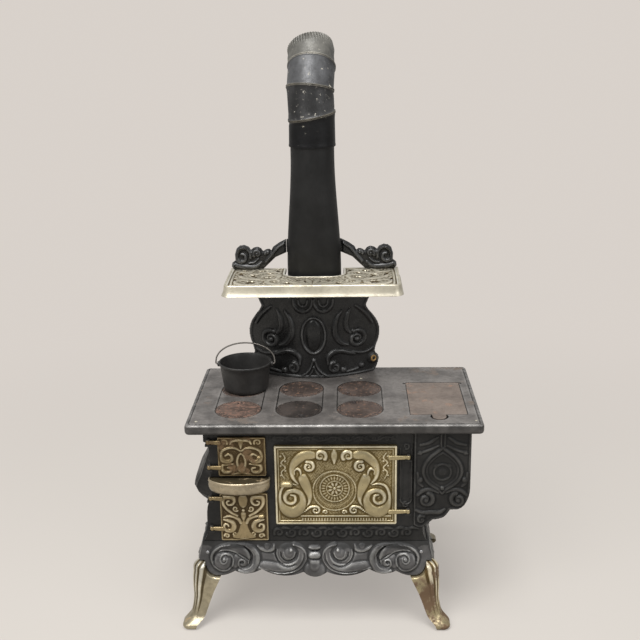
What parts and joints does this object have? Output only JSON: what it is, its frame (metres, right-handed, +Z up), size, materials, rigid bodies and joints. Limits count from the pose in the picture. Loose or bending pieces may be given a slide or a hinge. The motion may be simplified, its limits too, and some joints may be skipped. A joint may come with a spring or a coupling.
{
  "type": "cast_iron_cooking_range",
  "caption": "Large toy cooking range in black cast iron with nickel trim: cabriole legs, oven, firebox, water reservoir, pierced warming shelf, kettle and swivel elbow stovepipe.",
  "frame": {"origin": "middle of the footprint box, on the floor", "axes": "+X to the right seen from the doors, +Y to the back, +Z up"},
  "size_m": [0.4678, 0.3282, 0.9037],
  "materials": {
    "black_iron": "blacked, semi-matt",
    "grey_iron": "worn smooth, dull sheen",
    "rusty_iron": "matt with light rust",
    "nickel": "worn nickel plate, satin",
    "black_sheet": "satin black enamel",
    "grey_sheet": "worn satin paint",
    "steel": "tarnished wire"
  },
  "bodies": {
    "root": {"cooktop": "grey_iron", "flue_collar": "black_iron", "back_plate": "black_iron", "warming_shelf": "nickel", "pipe_yoke": "black_iron", "body_front": "black_iron", "left_end": "black_iron", "right_end": "black_iron", "back_panel": "black_iron", "fireback": "black_iron", "oven_floor": "black_iron", "oven_roof": "black_iron", "oven_back": "black_iron", "firebox_grate": "black_iron", "base_skirt": "black_iron", "base_floor": "black_iron", "leg_front_left": "nickel", "leg_front_right": "nickel", "leg_rear_left": "nickel", "leg_rear_right": "nickel", "hearth_shelf": "nickel", "reservoir_front": "black_iron", "reservoir_casing": "black_iron", "reservoir_tank": "grey_sheet", "oven_door_pin_lower": "steel", "oven_door_pin_upper": "steel", "firebox_door_pin_lower": "steel", "firebox_door_pin_upper": "steel", "ash_door_pin_lower": "steel", "ash_door_pin_upper": "steel"},
    "oven_door": {"oven_door": "nickel"},
    "firebox_door": {"firebox_door": "nickel"},
    "ash_door": {"ash_door": "nickel"},
    "short_centre_left": {"short_centre_left": "grey_iron"},
    "short_centre_middle": {"short_centre_middle": "grey_iron"},
    "short_centre_right": {"short_centre_right": "grey_iron"},
    "lid_left_front": {"lid_left_front": "rusty_iron"},
    "lid_left_back": {"lid_left_back": "rusty_iron"},
    "lid_middle_front": {"lid_middle_front": "rusty_iron"},
    "lid_middle_back": {"lid_middle_back": "rusty_iron"},
    "lid_right_front": {"lid_right_front": "rusty_iron"},
    "lid_right_back": {"lid_right_back": "rusty_iron"},
    "reservoir_lid": {"reservoir_lid": "rusty_iron"},
    "kettle": {"kettle": "black_iron"},
    "kettle_bail": {"kettle_bail": "steel"},
    "stovepipe": {"stovepipe": "black_sheet"},
    "elbow_cuff": {"elbow_cuff": "grey_sheet"},
    "elbow_lower_gore": {"elbow_lower_gore": "grey_sheet"},
    "elbow_upper_gore": {"elbow_upper_gore": "grey_sheet"},
    "elbow_outlet": {"elbow_outlet": "grey_sheet"}
  },
  "joints": [
    {"name": "oven_door_hinge", "type": "hinge", "parent": "root", "child": "oven_door", "pos_m": [0.12187, -0.13136, 0.2375], "axis": [0, 0, 1], "range_deg": [0, 150]},
    {"name": "firebox_door_hinge", "type": "hinge", "parent": "root", "child": "firebox_door", "pos_m": [-0.18293, -0.13136, 0.288], "axis": [0, 0, -1], "range_deg": [0, 150]},
    {"name": "ash_door_hinge", "type": "hinge", "parent": "root", "child": "ash_door", "pos_m": [-0.18393, -0.13136, 0.189], "axis": [0, 0, -1], "range_deg": [0, 150]},
    {"name": "short_centre_left_lift", "type": "slide", "parent": "root", "child": "short_centre_left", "axis": [0, 0, 1], "range_m": [0, 0.025]},
    {"name": "lid_left_front_lift", "type": "slide", "parent": "short_centre_left", "child": "lid_left_front", "axis": [0, 0, 1], "range_m": [0, 0.03]},
    {"name": "lid_left_back_lift", "type": "slide", "parent": "short_centre_left", "child": "lid_left_back", "axis": [0, 0, 1], "range_m": [0, 0.03]},
    {"name": "short_centre_middle_lift", "type": "slide", "parent": "root", "child": "short_centre_middle", "axis": [0, 0, 1], "range_m": [0, 0.03]},
    {"name": "lid_middle_front_lift", "type": "slide", "parent": "short_centre_middle", "child": "lid_middle_front", "axis": [0, 0, 1], "range_m": [0, 0.06]},
    {"name": "lid_middle_back_lift", "type": "slide", "parent": "short_centre_middle", "child": "lid_middle_back", "axis": [0, 0, 1], "range_m": [0, 0.06]},
    {"name": "short_centre_right_lift", "type": "slide", "parent": "root", "child": "short_centre_right", "axis": [0, 0, 1], "range_m": [0, 0.03]},
    {"name": "lid_right_front_lift", "type": "slide", "parent": "short_centre_right", "child": "lid_right_front", "axis": [0, 0, 1], "range_m": [0, 0.06]},
    {"name": "lid_right_back_lift", "type": "slide", "parent": "short_centre_right", "child": "lid_right_back", "axis": [0, 0, 1], "range_m": [0, 0.06]},
    {"name": "reservoir_lid_hinge", "type": "hinge", "parent": "root", "child": "reservoir_lid", "pos_m": [0.16927, 0.02964, 0.34], "axis": [-1, 0, 0], "range_deg": [0, 100]},
    {"name": "kettle_lift", "type": "slide", "parent": "lid_left_back", "child": "kettle", "axis": [0, 0, 1], "range_m": [0, 0.02]},
    {"name": "bail_swing", "type": "hinge", "parent": "kettle", "child": "kettle_bail", "pos_m": [-0.13693, 0.01074, 0.3853], "axis": [1, 0, 0], "range_deg": [-45, 80]},
    {"name": "stovepipe_lift", "type": "slide", "parent": "root", "child": "stovepipe", "axis": [0, 0, 1], "range_m": [0, 0.12]},
    {"name": "elbow_cuff_turn", "type": "hinge", "parent": "stovepipe", "child": "elbow_cuff", "pos_m": [-0.02413, 0.09114, 0.727], "axis": [0, 0, 1], "continuous": true},
    {"name": "elbow_lower_turn", "type": "hinge", "parent": "elbow_cuff", "child": "elbow_lower_gore", "pos_m": [-0.02413, 0.09114, 0.7745], "axis": [-0.1843, -0.0494, 0.9816], "continuous": true},
    {"name": "elbow_upper_turn", "type": "hinge", "parent": "elbow_lower_gore", "child": "elbow_upper_gore", "pos_m": [-0.02613, 0.09543, 0.81623], "axis": [0.0908, 0.2495, 0.9641], "continuous": true},
    {"name": "elbow_outlet_turn", "type": "hinge", "parent": "elbow_upper_gore", "child": "elbow_outlet", "pos_m": [-0.02385, 0.11142, 0.84908], "axis": [0.0318, 0.6065, 0.7944], "continuous": true}
  ]
}
